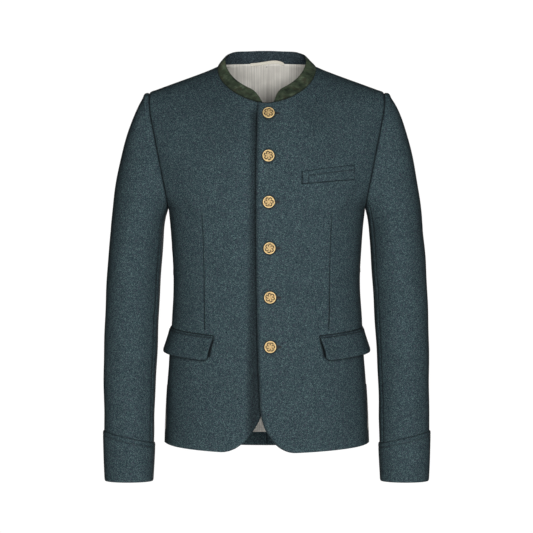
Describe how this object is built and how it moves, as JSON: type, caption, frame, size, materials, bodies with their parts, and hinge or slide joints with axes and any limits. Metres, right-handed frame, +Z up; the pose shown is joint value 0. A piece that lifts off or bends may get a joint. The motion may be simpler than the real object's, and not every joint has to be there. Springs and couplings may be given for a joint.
{
  "type": "trachten jacket",
  "caption": "Waist-length wool jacket with a stand-up collar, buttoned front, chest welt, hip flaps and turned-up cuffs, filled out as worn.",
  "frame": {"origin": "midway between the two shoulder seams, level with the side of the neck, where the wearer's shoulders hold the jacket", "axes": "+Z up the jacket, -Y out of its front, +X to the wearer's left"},
  "size_m": [0.5812, 0.2661, 0.7657],
  "materials": {
    "wool_cloth": "milled blue-green melange wool",
    "collar_suede": "bottle-green suede",
    "lining": "grey-beige lining with fine stripes",
    "tape": "cream woven tape",
    "antique_brass": "antique brass, embossed"
  },
  "bodies": {
    "root": {"front_left": "wool_cloth", "front_right": "wool_cloth", "back_left": "wool_cloth", "back_right": "wool_cloth", "sleeve_left_under": "wool_cloth", "sleeve_left_upper": "wool_cloth", "cuff_left": "wool_cloth", "sleeve_right_under": "wool_cloth", "sleeve_right_upper": "wool_cloth", "cuff_right": "wool_cloth", "collar_outer": "collar_suede", "collar_inner": "wool_cloth", "back_lining": "lining", "hanger_loop": "tape", "chest_welt": "wool_cloth", "flap_left": "wool_cloth", "flap_right": "wool_cloth", "button_1": "antique_brass", "button_2": "antique_brass", "button_3": "antique_brass", "button_4": "antique_brass", "button_5": "antique_brass", "button_6": "antique_brass"}
  },
  "joints": []
}
